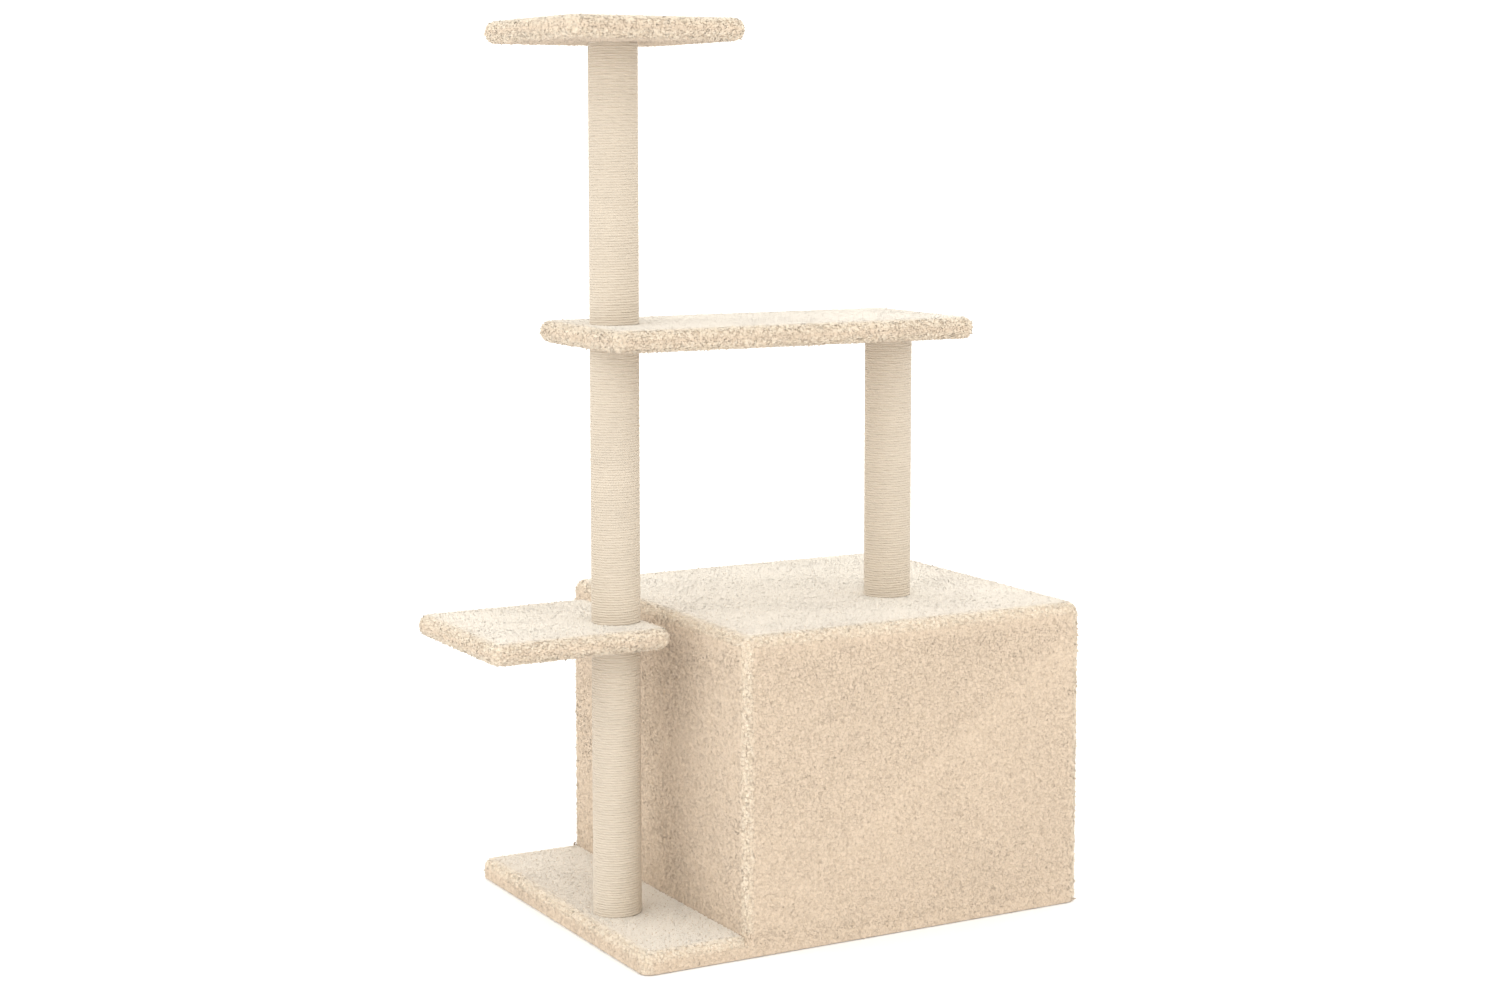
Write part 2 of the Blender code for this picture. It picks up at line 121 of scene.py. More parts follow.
# Numbers for a repeatable scatter of clumps, and the slow waves in the way the pile leans.
HASH_WEIGHTS = (12.9898, 78.233, 37.719)
HASH_SCALE = 43758.5453
NAP_WAVES = ((31.0, 17.0, -23.0), (-19.0, 37.0, 13.0), (23.0, -29.0, 41.0))

# Doorway in the condo's front wall.
DOOR_HALF_WIDTH = 0.100
DOOR_HEIGHT = 0.240
DOOR_STRAIGHT = DOOR_HEIGHT - DOOR_HALF_WIDTH
DOOR_EDGE = 2 * DOOR_STRAIGHT + pi * DOOR_HALF_WIDTH
DOOR_ROLL = 0.004
DOOR_CLEARANCE = 0.002
LINING_JITTER = 0.0008

# Sisal cord, wound on each tube in one helix.
CORD_PITCH = 0.0030
CORD_DEPTH = 0.0030
CORD_FLATNESS = 0.45
CORD_SPREAD = 1.3
CORD_SIDES = 8
CORD_WANDER = (0.00012, 0.00008)
CORD_UNEVENNESS = 0.00006
TURN_STEPS = 48

UPRIGHT_SIDES = [(0, -1), (0, 1), (1, -1), (1, 1)]
UPRIGHT_AND_TOP = [*UPRIGHT_SIDES, (2, 1)]
LANDINGS = ("step", "shelf", "top")
WALLS = {"back": (1, -1), "front": (1, 1), "left": (0, -1), "right": (0, 1)}
POSTS = ("lower_post", "middle_post", "upper_post", "condo_post")


# ---------------------------------------------------------------- materials

def new_material(name, colour, roughness, metallic=0.0):
    """A material whose shader holds the plain values, and the node tree to build on."""
    material = bpy.data.materials.new(name)
    material.use_nodes = True
    tree = material.node_tree
    shader = next(node for node in tree.nodes if node.type == "BSDF_PRINCIPLED")
    shader.inputs["Base Color"].default_value = (*colour, 1)
    shader.inputs["Roughness"].default_value = roughness
    shader.inputs["Metallic"].default_value = metallic
    return material, tree, shader


def add_node(tree, kind, inputs=None, **settings):
    node = tree.nodes.new(kind)
    for key, value in settings.items():
        setattr(node, key, value)
    for key, value in (inputs or {}).items():
        if isinstance(value, bpy.types.NodeSocket):
            tree.links.new(value, node.inputs[key])
        else:
            node.inputs[key].default_value = value
    return node


def object_place(tree, scale=(1, 1, 1)):
    """Object coordinates, stretched along the axes."""
    place = add_node(tree, "ShaderNodeTexCoord").outputs["Object"]
    return add_node(tree, "ShaderNodeMapping", {"Vector": place, "Scale": scale}).outputs["Vector"]


def noise(tree, place, scale, detail=3.0, roughness=0.5):
    inputs = {"Vector": place, "Scale": scale, "Detail": detail, "Roughness": roughness}
    return add_node(tree, "ShaderNodeTexNoise", inputs).outputs["Fac"]


def ramp(tree, factor, stops):
    """A colour ramp through (place, colour) stops."""
    node = add_node(tree, "ShaderNodeValToRGB", {"Fac": factor})
    elements = node.color_ramp.elements
    while len(elements) < len(stops):
        elements.new(0.5)
    for element, (place, colour) in zip(elements, stops):
        element.position = place
        element.color = (*colour, 1)
    return node.outputs["Color"]


def spread(tree, factor, low, high):
    """A 0 to 1 factor brought to the range from low to high."""
    inputs = {"Value": factor, "To Min": low, "To Max": high}
    return add_node(tree, "ShaderNodeMapRange", inputs).outputs["Result"]


def multiply(tree, first, second):
    node = add_node(tree, "ShaderNodeMix", data_type="RGBA", blend_type="MULTIPLY")
    node.inputs["Factor"].default_value = 1.0
    tree.links.new(first, node.inputs["A"])
    tree.links.new(second, node.inputs["B"])
    return node.outputs["Result"]


def blend(tree, factor, first, second):
    node = add_node(tree, "ShaderNodeMix", data_type="RGBA")
    tree.links.new(factor, node.inputs["Factor"])
    for key, value in (("A", first), ("B", second)):
        if isinstance(value, bpy.types.NodeSocket):
            tree.links.new(value, node.inputs[key])
        else:
            node.inputs[key].default_value = (*value, 1)
    return node.outputs["Result"]


def bump(tree, shader, height, distance, strength=1.0):
    inputs = {"Height": height, "Distance": distance, "Strength": strength}
    node = add_node(tree, "ShaderNodeBump", inputs)
    tree.links.new(node.outputs["Normal"], shader.inputs["Normal"])


def attribute(tree, name):
    return add_node(tree, "ShaderNodeAttribute", attribute_name=name).outputs["Fac"]


PLUSH_TIP = (0.737, 0.612, 0.492)
# Tip colour for level faces, paler: a painted highlight standing for the stronger light on tops.
PLUSH_TIP_PAINTED_TOP_LIGHT = (0.892, 0.851, 0.790)
# Tip colour round rounded rims and corners, paler: a painted highlight along them.
PLUSH_TIP_PAINTED_EDGE_HIGHLIGHT = (0.850, 0.767, 0.646)
PLUSH_GROUND = (0.660, 0.550, 0.440)
PLUSH_GROUND_DARK = (0.58, 0.48, 0.375)
PLUSH_ROOT_TINT = (0.96, 0.94, 0.91)

# Tint of the pile from root to tip. The darker, warmer roots are partly the fibre's own colour
# and partly painted shade deep in the pile.
PILE_HEIGHTS = ((0.0, PLUSH_ROOT_TINT), (0.9, (1.0, 1.0, 1.0)))

# Tint of each tuft, from the darkest to the palest: on upright faces, on level faces and round edges.
# The darker tufts are partly random tone and partly painted shade for the hollows between the curls.
PILE_SHADES = ((0.10, (0.84, 0.825, 0.80)), (0.35, (0.96, 0.96, 0.95)), (0.85, (1.0, 1.0, 1.0)))
# On level faces the tufts darken far less, which is also part of the painted light on tops.
PILE_SHADES_LEVEL = ((0.10, (0.975, 0.97, 0.96)), (0.25, (0.99, 0.99, 0.985)), (0.85, (1.0, 1.0, 1.0)))
PILE_SHADES_BEND = ((0.15, (0.86, 0.83, 0.78)), (0.40, (0.95, 0.935, 0.91)), (0.85, (1.0, 1.0, 1.0)))


def pile_material():
    """Cream pile: paler at the tips, each tuft a little different, with soft patches.

    On level faces the tips are painted paler, a painted highlight standing for the stronger light on tops,
    fading towards the faces' outline. Round the rims and corners the tips are painted paler too, a painted
    highlight along them, with some darker tufts between.
    """
    material, tree, shader = new_material("plush_pile", PLUSH_TIP, 0.92)
    shader.inputs["Specular IOR Level"].default_value = 0.15
    shader.inputs["Sheen Weight"].default_value = 0.10
    shader.inputs["Sheen Roughness"].default_value = 0.5
    # The level mask paints light: level faces get the paler tip colour, standing for the light on tops.
    level = attribute(tree, "tuft_painted_top_light")
    edge = attribute(tree, "tuft_painted_edge_highlight")
    shade = attribute(tree, "tuft_shade")
    tip = blend(tree, level, PLUSH_TIP, PLUSH_TIP_PAINTED_TOP_LIGHT)
    # The bend mask paints a highlight: paler tips along the rounded rims and corners.
    tip = blend(tree, spread(tree, edge, 0.0, 0.75), tip, PLUSH_TIP_PAINTED_EDGE_HIGHLIGHT)
    # Roots tinted darker: partly the fibre's own colour, partly painted shade deep in the pile.
    colour = multiply(tree, tip, ramp(tree, attribute(tree, "tuft_height"), PILE_HEIGHTS))
    upright = ramp(tree, shade, PILE_SHADES)
    level_shades = ramp(tree, shade, PILE_SHADES_LEVEL)
    edge_shades = ramp(tree, shade, PILE_SHADES_BEND)
    tuft = blend(tree, edge, blend(tree, level, upright, level_shades), edge_shades)
    patches = spread(tree, noise(tree, object_place(tree), 14, 2), 0.98, 1.02)
    colour = multiply(tree, multiply(tree, colour, tuft), patches)
    tree.links.new(colour, shader.inputs["Base Color"])
    fibres = noise(tree, object_place(tree), 1800, 2)
    tree.links.new(spread(tree, fibres, 0.85, 1.0), shader.inputs["Roughness"])
    bump(tree, shader, fibres, 0.0003, 0.6)
    return material


def backing_material():
    """The woven ground of the plush, in the shade of the pile's roots."""
    material, tree, shader = new_material("plush_backing", PLUSH_GROUND, 0.95)
    shader.inputs["Specular IOR Level"].default_value = 0.1
    grain = noise(tree, object_place(tree), 420, 3)
    colour = ramp(tree, grain, ((0.3, PLUSH_GROUND_DARK), (0.7, PLUSH_GROUND)))
    tree.links.new(colour, shader.inputs["Base Color"])
    tree.links.new(spread(tree, grain, 0.88, 1.0), shader.inputs["Roughness"])
    bump(tree, shader, grain, 0.0008)
    return material


# The cord's twist is a ridge that winds round it, by 160 radians in a metre. Once round the cord counts as
# about a full turn.
SISAL_TWIST = 160.0
TWIST_ROUND = 6
SISAL = (0.642, 0.564, 0.468)
STREAK_STRETCH = (90, 9, 1)
SISAL_STREAKS = ((0.2, (0.86, 0.84, 0.80)), (0.5, (1.0, 1.0, 1.0)), (0.8, (1.08, 1.10, 1.13)))


def sisal_material():
    """Bleached sisal cord: streaks of fibre along its twist."""
    material, tree, shader = new_material("sisal_cord", SISAL, 0.78)
    shader.inputs["Specular IOR Level"].default_value = 0.25
    shader.inputs["Sheen Weight"].default_value = 0.12
    along = attribute(tree, "cord_along")
    around = attribute(tree, "cord_around")
    twist = add_node(tree, "ShaderNodeMath", operation="MULTIPLY_ADD")
    tree.links.new(along, twist.inputs[0])
    twist.inputs[1].default_value = SISAL_TWIST
    tree.links.new(around, twist.inputs[2])
    streak_place = add_node(tree, "ShaderNodeCombineXYZ")
    tree.links.new(along, streak_place.inputs["X"])
    tree.links.new(twist.outputs[0], streak_place.inputs["Y"])
    inputs = {"Vector": streak_place.outputs[0], "Scale": STREAK_STRETCH}
    stretched = add_node(tree, "ShaderNodeMapping", inputs).outputs["Vector"]
    streaks = noise(tree, stretched, 1.0, 4, 0.6)
    stops = [(place, tuple(np.multiply(SISAL, tint))) for place, tint in SISAL_STREAKS]
    colour = ramp(tree, streaks, stops)
    patches = spread(tree, noise(tree, object_place(tree, (1, 1, 3)), 9, 3), 0.93, 1.06)
    tree.links.new(multiply(tree, colour, patches), shader.inputs["Base Color"])
    tree.links.new(spread(tree, streaks, 0.65, 0.9), shader.inputs["Roughness"])
    ply = add_node(tree, "ShaderNodeMath", {0: twist.outputs[0]}, operation="SINE")
    relief = add_node(tree, "ShaderNodeMath", {0: ply.outputs[0], 2: streaks}, operation="MULTIPLY_ADD")
    relief.inputs[1].default_value = 0.5
    bump(tree, shader, relief.outputs[0], 0.0004)
    return material


def chipboard_material():
    material, tree, shader = new_material("chipboard", (0.55, 0.40, 0.25), 0.85)
    place = object_place(tree)
    chips = add_node(tree, "ShaderNodeTexVoronoi", {"Vector": place, "Scale": 420, "Randomness": 1.0})
    colour = ramp(tree, chips.outputs["Color"], ((0.0, (0.38, 0.26, 0.15)), (0.45, (0.56, 0.41, 0.26)),
                                                 (1.0, (0.70, 0.56, 0.39))))
    stain = spread(tree, noise(tree, place, 12, 3), 0.88, 1.08)
    tree.links.new(multiply(tree, colour, stain), shader.inputs["Base Color"])
    tree.links.new(spread(tree, chips.outputs["Distance"], 0.75, 0.95), shader.inputs["Roughness"])
    bump(tree, shader, chips.outputs["Distance"], 0.0004, 0.6)
    return material


def cardboard_material():
    material, tree, shader = new_material("cardboard", (0.42, 0.30, 0.19), 0.88)
    pulp = noise(tree, object_place(tree, (1, 1, 0.35)), 260, 4, 0.6)
    colour = ramp(tree, pulp, ((0.3, (0.34, 0.235, 0.145)), (0.7, (0.47, 0.345, 0.225))))
    tree.links.new(colour, shader.inputs["Base Color"])
    tree.links.new(spread(tree, pulp, 0.8, 0.95), shader.inputs["Roughness"])
    bump(tree, shader, pulp, 0.0002, 0.5)
    return material


def pine_material():
    material, tree, shader = new_material("pine", (0.72, 0.52, 0.31), 0.6)
    grain = noise(tree, object_place(tree, (1, 1, 0.04)), 160, 4, 0.55)
    colour = ramp(tree, grain, ((0.3, (0.60, 0.40, 0.21)), (0.5, (0.74, 0.54, 0.33)),
                                (0.75, (0.80, 0.62, 0.40))))
    tree.links.new(colour, shader.inputs["Base Color"])
    tree.links.new(spread(tree, grain, 0.5, 0.7), shader.inputs["Roughness"])
    bump(tree, shader, grain, 0.0002, 0.5)
    return material


def plastic_material():
    material, tree, shader = new_material("plug_plastic", (0.045, 0.045, 0.048), 0.45)
    mottle = noise(tree, object_place(tree), 900, 2)
    colour = ramp(tree, mottle, ((0.3, (0.038, 0.038, 0.041)), (0.7, (0.055, 0.055, 0.058))))
    tree.links.new(colour, shader.inputs["Base Color"])
    tree.links.new(spread(tree, mottle, 0.38, 0.55), shader.inputs["Roughness"])
    bump(tree, shader, mottle, 0.0001, 0.4)
    return material


def steel_material():
    material, tree, shader = new_material("zinc_plated_steel", (0.66, 0.66, 0.64), 0.35, 1.0)
    spangle = noise(tree, object_place(tree), 500, 3)
    colour = ramp(tree, spangle, ((0.3, (0.58, 0.58, 0.55)), (0.7, (0.72, 0.72, 0.71))))
    tree.links.new(colour, shader.inputs["Base Color"])
    tree.links.new(spread(tree, spangle, 0.28, 0.48), shader.inputs["Roughness"])
    bump(tree, shader, spangle, 0.00005, 0.5)
    return material


materials = {"pile": pile_material(), "backing": backing_material(), "sisal": sisal_material()}
finishes = {"chipboard": chipboard_material(), "cardboard": cardboard_material(), "pine": pine_material(),
            "plug_plastic": plastic_material(), "steel": steel_material()}


# ---------------------------------------------------------------- mesh helpers

def new_piece(name, points, faces, material, attributes=None, normals=None):
    """A smooth mesh object that rides on the tree. All faces have the same number of corners."""
    mesh = bpy.data.meshes.new(name)
    corners = faces.shape[1]
    mesh.vertices.add(len(points))
    mesh.vertices.foreach_set("co", points.astype(np.float32).ravel())
    mesh.loops.add(faces.size)
    mesh.loops.foreach_set("vertex_index", faces.astype(np.int32).ravel())
    mesh.polygons.add(len(faces))
    mesh.polygons.foreach_set("loop_start", np.arange(0, faces.size, corners, dtype=np.int32))
    for key, values in (attributes or {}).items():
        mesh.attributes.new(key, "FLOAT", "POINT").data.foreach_set("value", values.astype(np.float32))
    mesh.update(calc_edges=True)
    mesh.shade_smooth()
    if normals is not None:
        mesh.normals_split_custom_set_from_vertices(normals)
    return add_piece(name, mesh, material)


def add_piece(name, mesh, material):
    mesh.materials.clear()
    mesh.materials.append(material)
    piece = bpy.data.objects.new(name, mesh)
    bpy.context.scene.collection.objects.link(piece)
    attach(piece, "root")
    return piece


def box_of(*nodes):
    """The lowest and highest corner round these CAD nodes, as arrays."""
    boxes = [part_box(node) for node in nodes]
    low = np.min([np.array(box[0]) for box in boxes], axis=0)
    high = np.max([np.array(box[1]) for box in boxes], axis=0)
    return low, high


def across(normals):
    """Two unit directions square to each normal and to each other."""
    helper = np.where(np.abs(normals[:, 2:]) < 0.9, (0.0, 0.0, 1.0), (1.0, 0.0, 0.0))
    first = np.cross(normals, helper)
    first /= np.linalg.norm(first, axis=1, keepdims=True)
    return first, np.cross(normals, first)


# ---------------------------------------------------------------- plush

def jittered_grid(low, high, spacing, rng):
    """Points spread over a flat rectangle in offset rows, each a little out of line."""
    columns = max(1, round((high[0] - low[0]) / spacing))
    rows = max(1, round((high[1] - low[1]) / spacing))
    row, column = np.divmod(np.arange(rows * columns), columns)
    grid = np.stack([column + 0.25 + 0.5 * (row % 2), row + 0.5], axis=1)
    grid += rng.uniform(-GRID_JITTER, GRID_JITTER, grid.shape)
    return low + grid / (columns, rows) * (high - low)


def rounded_core(points, low, high, radius, corner):
    """The nearest place to each point inside a box drawn in by radius, its upright edges rounded."""
    core = np.clip(points, low + radius, high - radius)
    middle = np.clip(points[:, :2], low[:2] + corner, high[:2] - corner)
    away = core[:, :2] - middle
    distance = np.linalg.norm(away, axis=1, keepdims=True)
    core[:, :2] = middle + away * np.minimum(1, (corner - radius) / np.maximum(distance, 1e-9))
    return core


def scatter_on_box(low, high, radius, corner, sides, rng):
    """Even points on these (axis, direction) sides of a box with rounded rims and upright edges.

    Points from two or three sides crowd together on a rounded edge, so some of them are dropped there.
    Returns the points, their outward directions and the number of the side each is on.
    """
    points = []
    numbers = []
    for number, (axis, direction) in enumerate(sides):
        flat = [other for other in range(3) if other != axis]
        spots = jittered_grid(low[flat], high[flat], TUFT_SPACING, rng)
        placed = np.empty((len(spots), 3))
        placed[:, flat] = spots
        placed[:, axis] = high[axis] if direction > 0 else low[axis]
        points.append(placed)
        numbers.append(np.full(len(spots), number))
    points = np.concatenate(points)
    inner = rounded_core(points, low, high, radius, corner)
    normals = points - inner
    normals /= np.linalg.norm(normals, axis=1, keepdims=True)
    kept = rng.random(len(points)) < np.abs(normals).max(axis=1) ** 2
    return (inner + radius * normals)[kept], normals[kept], np.concatenate(numbers)[kept]


def cell_hash(cells, salt):
    """A repeatable number from 0 to 1 for each grid cell."""
    mixed = np.sin(cells @ np.array(HASH_WEIGHTS) + salt) * HASH_SCALE
    return mixed - np.floor(mixed)


def nearest_clumps(points):
    """The middle of the clump each point belongs to, a number from 0 to 1 and a turn for that clump."""
    own = np.floor(points / TUFT_CLUMP)
    best = np.full(len(points), np.inf)
    centres = points.copy()
    shades = np.zeros(len(points))
    turns = np.zeros((len(points), 2))
    for step in product((-1, 0, 1), repeat=3):
        cells = own + step
        spots = np.stack([cell_hash(cells, salt) for salt in (1.0, 2.0, 3.0)], axis=1)
        spots = (cells + spots) * TUFT_CLUMP
        distance = np.linalg.norm(spots - points, axis=1)
        closer = distance < best
        best[closer] = distance[closer]
        centres[closer] = spots[closer]
        shades[closer] = cell_hash(cells[closer], 4.0)
        turns[closer] = np.stack([cell_hash(cells[closer], salt) for salt in (5.0, 6.0)], axis=1) - 0.5
    return centres, shades, turns


def nap(points):
    """A slow drift in the way the pile leans."""
    waves = points @ np.array(NAP_WAVES)
    return np.sin(waves) + 0.5 * np.sin(2.3 * waves[:, ::-1] + 1.0)


def grow_pile(name, tips, normals, rng):
    """Leaning tufts, each a three-sided cone from the ground to its place on the cover's face.

    The shading follows the face and the lean of each clump,
    as it does on a pile too fine to show its single fibres.
    """
    first, second = across(normals)
    roots = tips - PILE * normals
    centres, clump_shades, clump_turns = nearest_clumps(tips)
    bend = np.clip((1 - np.abs(normals).max(axis=1)) / RIM_BEND, 0, 1) ** RIM_SPREAD
    mixing = 2 * rng.random(len(tips)) - 1
    lean = CLUMP_PULL * (centres - tips) + NAP_LEAN * nap(tips) + rng.normal(0, LEAN_SCATTER, tips.shape)
    lean -= normals * np.sum(lean * normals, axis=1, keepdims=True)
    up = np.clip(normals[:, 2], 0, 1)
    calm = 1 - LEVEL_CALM * up
    reach = calm * (CLUMP_REACH * (clump_shades - 0.5) + rng.normal(0, REACH_SCATTER, len(tips)))
    loose = np.maximum(0, rng.normal(LOOSE_MEAN, LOOSE_SCATTER, len(tips)))
    reach += (LOOSE_ON_FACES * calm + bend) * loose
    ends = tips + lean + normals * reach[:, None]
    turn = rng.uniform(0, tau, len(tips))
    width = TUFT_WIDTH * rng.uniform(*TUFT_WIDTH_RANGE, len(tips))
    corners = [roots + width[:, None] * (np.cos(turn + corner)[:, None] * first
                                         + np.sin(turn + corner)[:, None] * second)
               for corner in (0, tau / 3, 2 * tau / 3)]
    points = np.stack([*corners, ends], axis=1).reshape(-1, 3)
    start = 4 * np.arange(len(tips))[:, None]
    faces = np.concatenate([start + corner for corner in ((0, 1, 3), (1, 2, 3), (2, 0, 3))])
    tilt = CLUMP_TILT * clump_turns + rng.normal(0, TUFT_TILT, (len(tips), 2))
    tilt *= (calm * (1 - TILT_AT_RIM * bend))[:, None]
    facing = normals + tilt[:, :1] * first + tilt[:, 1:] * second
    facing /= np.linalg.norm(facing, axis=1, keepdims=True)
    # Each tuft's shade: partly random tone, and partly painted shade for the dark hollows between curls.
    own = rng.random(len(tips))
    shade = own + (CLUMP_SHADE - CLUMP_SHADE_DROP * bend) * (clump_shades - own)
    # The level mask paints light on tops: upward faces get the paler tip colour, less of it near their
    # outline.
    plan = tips[:, :2]
    inset = np.minimum(plan - plan.min(axis=0), plan.max(axis=0) - plan).min(axis=1)
    level = up ** 2 * (1 - TOP_LIGHT_EDGE_DROP * np.exp(-inset / RIM_FADE))
    level += LEVEL_MIXING * level * (1 - level) * mixing
    # The bend attribute marks where the painted highlight goes along the rims and corners.
    attributes = {"tuft_height": np.tile((0.0, 0.0, 0.0, 1.0), len(tips)),
                  "tuft_shade": np.repeat(shade, 4),
                  "tuft_painted_top_light": np.repeat(np.clip(level, 0, 1), 4),
                  "tuft_painted_edge_highlight": np.repeat(np.clip(bend * (1 + mixing), 0, 1), 4)}
    facing = np.repeat(facing, 4, axis=0)
    return new_piece(name, points, faces, materials["pile"], attributes, facing)


def make_backing(node, low, high, radius, corner, tuck=0.0):
    """The cover's dense ground: the CAD cover drawn in by the height of its loose pile.

    The box and radii are the ones its pile stands on, so the ground keeps the same distance below it.
    tuck is how far its upper and lower ends reach on into the rounded rims of its neighbours.
    """
    mesh = frame["nodes"][node].data.copy()
    mesh.name = f"{node}_backing"
    shape = bmesh.new()
    shape.from_mesh(mesh)
    bmesh.ops.remove_doubles(shape, verts=shape.verts, dist=1e-5)
    for axis, share in product(range(3), (0.3, 0.6, 1.0)):
        for place in (low[axis] + share * radius, high[axis] - share * radius):
            normal = [float(axis == other) for other in range(3)]
            cut = [place * part for part in normal]
            everything = [*shape.verts, *shape.edges, *shape.faces]
            bmesh.ops.bisect_plane(shape, geom=everything, dist=1e-6, plane_co=cut, plane_no=normal)
    points = np.array([vertex.co for vertex in shape.verts])
    bottom, top = points[:, 2].min(), points[:, 2].max()
    ends = (points[:, 2] > top - END_BAND).astype(float) - (points[:, 2] < bottom + END_BAND)
    core = rounded_core(points, low, high, radius, corner)
    away = points - core
    distance = np.maximum(np.linalg.norm(away, axis=1, keepdims=True), 1e-9)
    reach = radius - PILE - TUCK_DEPTH * (tuck > 0) * np.abs(ends)[:, None]
    drawn = core + away * np.minimum(1, reach / distance)
    drawn[:, 2] += tuck * ends
    for vertex, place in zip(shape.verts, drawn):
        vertex.co = place
    bmesh.ops.recalc_face_normals(shape, faces=shape.faces)
    shape.to_mesh(mesh)
    shape.free()
    return add_piece(f"{node}_backing", mesh, materials["backing"])


def clear_of_posts(points, level_low, level_high):
    """Which points are outside the posts that stand on, or hold up, a plate between these levels."""
    clear = np.ones(len(points), bool)
    for post in POSTS:
        low, high = box_of(f"{post}_sisal")
        if low[2] > level_high + POST_NEAR or high[2] < level_low - POST_NEAR:
            continue
        middle = (low + high) / 2
        radius = (high[0] - low[0]) / 2 - POST_OVERLAP
        over = points[:, 2] > (level_low + level_high) / 2
        touches_top = abs(low[2] - level_high) < POST_NEAR
        touches_under = abs(high[2] - level_low) < POST_NEAR
        near = np.linalg.norm(points[:, :2] - middle[:2], axis=1) < radius
        clear &= ~(near & ((over & touches_top) | (~over & touches_under)))
    return clear


def declare_cover(backing, pile, node):
    for piece in (backing, pile):
        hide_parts(node)


def cover_landing(name, rng):
    """Plush wrapped right round a landing's board."""
    low, high = box_of(f"{name}_plush")
    backing = make_backing(f"{name}_plush", low, high, RIM_RADIUS, CORNER_RADIUS)
    sides = list(product((0, 1, 2), (-1, 1)))
    points, normals, _ = scatter_on_box(low, high, RIM_RADIUS, CORNER_RADIUS, sides, rng)
    kept = clear_of_posts(points, low[2], high[2])
    pile = grow_pile(f"{name}_plush_pile", points[kept], normals[kept], rng)
    declare_cover(backing, pile, f"{name}_plush")


def cover_base(rng):
    """Plush over the base's top and sides, flush with the condo's walls.

    Beneath the walls it is bare, but for the pile of its rim, which goes on a little way under the corner.
    """
    low, high = box_of("base_plush")
    rim = np.array((0, 0, RIM_RADIUS))
    backing = make_backing("base_plush", low - rim, high, RIM_RADIUS, RIM_RADIUS)
    points, normals, _ = scatter_on_box(low - rim, high, RIM_RADIUS, RIM_RADIUS, UPRIGHT_AND_TOP, rng)
    to_wall = condo_box[0][0] - points[:, 0]
    in_room = np.all((points[:, :2] > room_box[0][:2]) & (points[:, :2] < room_box[1][:2]), axis=1)
    on_rim = (normals[:, 2] > CORNER_FILL_UP[0]) & (normals[:, 2] < CORNER_FILL_UP[1])
    kept = (to_wall > 0) | in_room | (on_rim & (to_wall > -CORNER_FILL))
    kept &= clear_of_posts(points, low[2], high[2])
    flush, flush_normals, _ = scatter_on_box(low - rim, high + rim, RIM_RADIUS, RIM_RADIUS,
                                             UPRIGHT_SIDES, rng)
    under_wall = (flush[:, 0] >= condo_box[0][0]) & (flush[:, 2] < high[2] + SEAM_LAP)
    points = np.concatenate([points[kept], flush[under_wall]])
    normals = np.concatenate([normals[kept], flush_normals[under_wall]])
    kept = points[:, 2] > FLOOR_CLEARANCE
    pile = grow_pile("base_plush_pile", points[kept], normals[kept], rng)
    declare_cover(backing, pile, "base_plush")


def cover_lid(rng):
    """Plush over the lid's top and sides, turned in to a hem below."""
    low, high = box_of("lid_plush")
    rim = np.array((0, 0, LID_RADIUS))
    backing = make_backing("lid_plush", low - rim, high, LID_RADIUS, LID_RADIUS)
    points, normals, _ = scatter_on_box(low - rim, high, LID_RADIUS, LID_RADIUS, UPRIGHT_AND_TOP, rng)
    kept = (points[:, 2] > low[2] - SEAM_LAP) & clear_of_posts(points, low[2], high[2])
    pile = grow_pile("lid_plush_pile", points[kept], normals[kept], rng)
    declare_cover(backing, pile, "lid_plush")


def doorway_path(half_width, top, sill, steps):
    """Points up one side of an arched doorway, over and down the other, and their inward directions."""
    spring = top - half_width
    straight = spring - sill
    length = 2 * straight + pi * half_width
    along = (np.arange(steps) + 0.5) / steps * length
    angle = np.clip((along - straight) / half_width, 0, pi)
    x = half_width * np.cos(angle)
    z = np.where(along < straight, sill + along, spring + half_width * np.sin(angle))
    z = np.where(along > length - straight, sill + length - along, z)
    return np.stack([x, z], axis=1), np.stack([-np.cos(angle), -np.sin(angle)], axis=1)


def in_doorway(points, middle_x, sill, grow=0.0):
    half = DOOR_HALF_WIDTH + grow
    spring = sill + DOOR_HEIGHT - DOOR_HALF_WIDTH
    x = np.abs(points[:, 0] - middle_x)
    height = points[:, 2] - spring
    return np.where(height < 0, x < half, np.hypot(x, height) < half)


def cover_walls(rng):
    """A plush panel on each wall of the condo. The pile meets in a soft fuzzy line at the corners."""
    low, high = condo_box
    radius = WALL_CORNER_RADIUS
    rise = np.array((0, 0, radius))
    points, normals, numbers = scatter_on_box(low - rise, high + rise, radius, radius,
                                              list(WALLS.values()), rng)
    door_x = (low[0] + high[0]) / 2
    sill = low[2]
    kept = (points[:, 2] > low[2] - SEAM_LAP) & (points[:, 2] < high[2] + SEAM_LAP)
    kept &= ~((normals[:, 1] > 0.5) & in_doorway(points, door_x, sill, DOOR_CLEARANCE))
    points, normals, numbers = points[kept], normals[kept], numbers[kept]
    for number, side in enumerate(WALLS):
        node = f"condo_{side}_plush"
        backing = make_backing(node, low - rise, high + rise, radius, radius, WALL_TUCK)
        here = numbers == number
        side_points, side_normals = points[here], normals[here]
        if side == "front":
            lining = doorway_lining(door_x, sill, rng)
            side_points = np.concatenate([side_points, lining[0]])
            side_normals = np.concatenate([side_normals, lining[1]])
        pile = grow_pile(f"{node}_pile", side_points, side_normals, rng)
        declare_cover(backing, pile, node)


